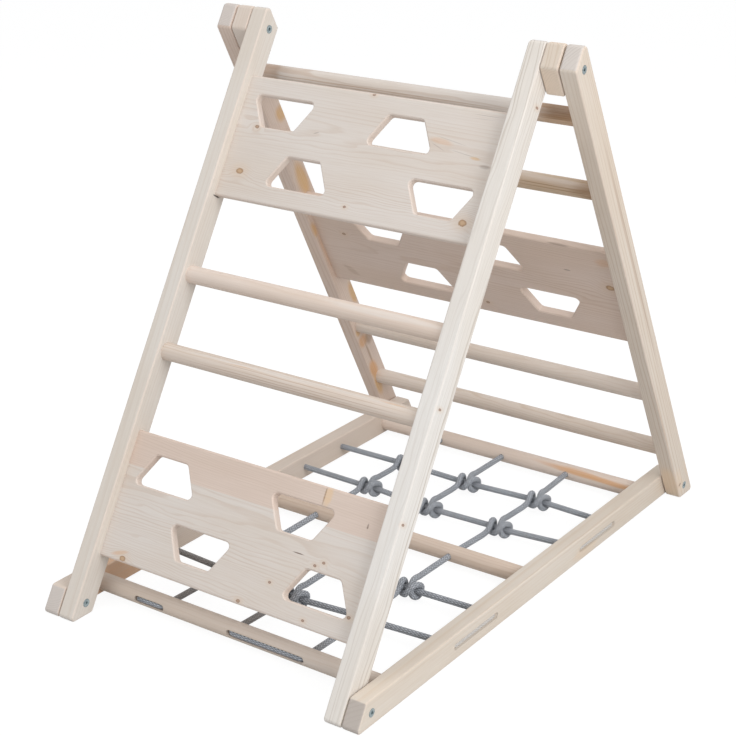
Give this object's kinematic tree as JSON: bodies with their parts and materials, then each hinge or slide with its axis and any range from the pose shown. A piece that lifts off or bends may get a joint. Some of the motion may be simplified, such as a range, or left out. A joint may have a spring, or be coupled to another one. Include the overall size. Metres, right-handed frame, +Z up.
{
  "type": "folding climbing triangle",
  "caption": "Wooden indoor climbing triangle for toddlers: a sloping front and back frame with rungs and boards with grip holes, hinged at the top over a flat knotted rope net frame.",
  "frame": {"origin": "on the floor at the middle of the footprint, the lowest point of the standing triangle", "axes": "+X to the right seen from the front, +Y from the front foot towards the rear foot, +Z up"},
  "size_m": [0.7, 1.0596, 0.9277],
  "materials": {
    "pale_wood": "planed spruce, whitewashed and matt",
    "back_frame_wood": "planed spruce, whitewashed and matt",
    "rope": "braided polypropylene cord",
    "zinc_steel": "zinc plated",
    "nylon_washer": "natural nylon"
  },
  "bodies": {
    "net_frame": {"net_rail_left": "pale_wood", "net_rail_right": "pale_wood", "net_front_bar": "pale_wood", "net_middle_bar": "pale_wood", "net_rear_bar": "pale_wood", "net_long_rope": "rope", "net_cross_rope": "rope", "front_foot_bolts": "zinc_steel", "front_foot_sleeve_nuts": "zinc_steel", "rear_foot_sleeve_nuts": "zinc_steel", "front_foot_washers": "nylon_washer"},
    "front_frame": {"front_stile_left": "pale_wood", "front_stile_right": "pale_wood", "front_upper_board": "pale_wood", "front_lower_board": "pale_wood", "front_upper_rung": "pale_wood", "front_lower_rung": "pale_wood", "top_spacer_left": "pale_wood", "top_spacer_right": "pale_wood", "top_bolts": "zinc_steel", "top_sleeve_nuts": "zinc_steel", "top_washers": "nylon_washer"},
    "back_frame": {"back_stile_left": "back_frame_wood", "back_stile_right": "back_frame_wood", "back_board": "back_frame_wood", "back_rung_1": "back_frame_wood", "back_rung_2": "back_frame_wood", "back_rung_3": "back_frame_wood", "back_rung_4": "back_frame_wood", "rear_foot_bolts": "zinc_steel"}
  },
  "joints": [
    {"name": "front_tilt", "type": "hinge", "parent": "net_frame", "child": "front_frame", "pos_m": [0, -0.49349, 0.0225], "axis": [1, 0, 0], "range_deg": [0, 20.1]},
    {"name": "top_fold", "type": "hinge", "parent": "front_frame", "child": "back_frame", "pos_m": [0, 0.01671, 0.89185], "axis": [-1, 0, 0], "range_deg": [0, 36.5]}
  ],
  "couplings": [
    {"joint": "front_tilt", "follows": "top_fold", "ratio": 0.55}
  ]
}
